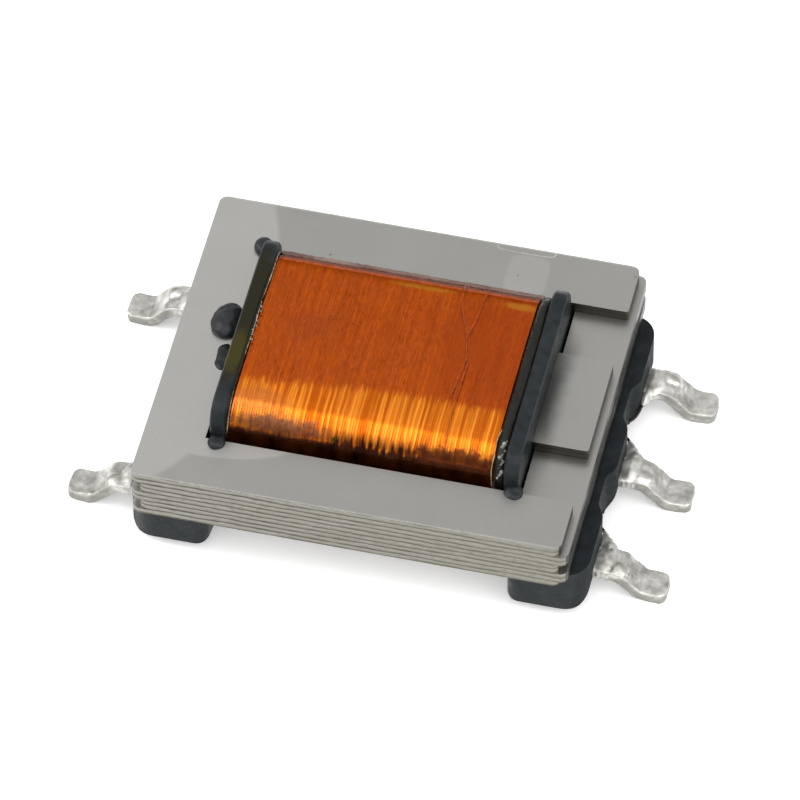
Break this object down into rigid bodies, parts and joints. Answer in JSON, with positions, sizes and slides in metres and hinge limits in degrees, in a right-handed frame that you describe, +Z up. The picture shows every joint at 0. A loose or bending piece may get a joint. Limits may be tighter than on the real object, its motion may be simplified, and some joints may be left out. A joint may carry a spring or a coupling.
{
  "type": "pcb transformer",
  "caption": "Low surface-mount transformer: interleaved E laminations through a tape-wrapped coil on a dark bobbin, with gull-wing leads along both end rails.",
  "frame": {"origin": "on the circuit board, under the middle of the part", "axes": "+X along the coil, towards the side with the most leads; +Y along the row of leads; +Z up from the board"},
  "size_m": [0.0194, 0.012, 0.005],
  "materials": {
    "core_steel": "satin sheet with bright cut edges",
    "bobbin_plastic": "satin moulded",
    "winding_wire": "enamelled copper, glossy",
    "insulating_tape": "glossy film",
    "clear_tape": "clear glossy film",
    "tinned_lead": "tinned, bright",
    "solder": "solder, bright and uneven",
    "adhesive": "cured, half gloss"
  },
  "bodies": {
    "root": {"adhesive_dab_left_centre": "adhesive", "adhesive_dab_left_front": "adhesive", "adhesive_dab_left_rear": "adhesive", "adhesive_dab_left_small": "adhesive", "adhesive_dab_right_front": "adhesive", "bobbin": "bobbin_plastic", "clear_tape": "clear_tape", "insulating_tape": "insulating_tape", "lamination_1": "core_steel", "lamination_2": "core_steel", "lamination_3": "core_steel", "lamination_4": "core_steel", "lamination_5": "core_steel", "lamination_6": "core_steel", "lamination_7": "core_steel", "lamination_8": "core_steel", "lamination_9": "core_steel", "lead_left_front": "tinned_lead", "lead_left_rear": "tinned_lead", "lead_right_front": "tinned_lead", "lead_right_middle": "tinned_lead", "lead_right_rear": "tinned_lead", "primary_winding": "winding_wire", "secondary_winding": "winding_wire", "solder_left_front": "solder", "solder_left_rear": "solder", "solder_right_front": "solder", "solder_right_middle": "solder", "solder_right_rear": "solder", "wire_end_left_front": "winding_wire", "wire_end_left_rear": "winding_wire", "wire_end_right_front": "winding_wire", "wire_end_right_middle": "winding_wire", "wire_end_right_rear": "winding_wire"}
  },
  "joints": []
}
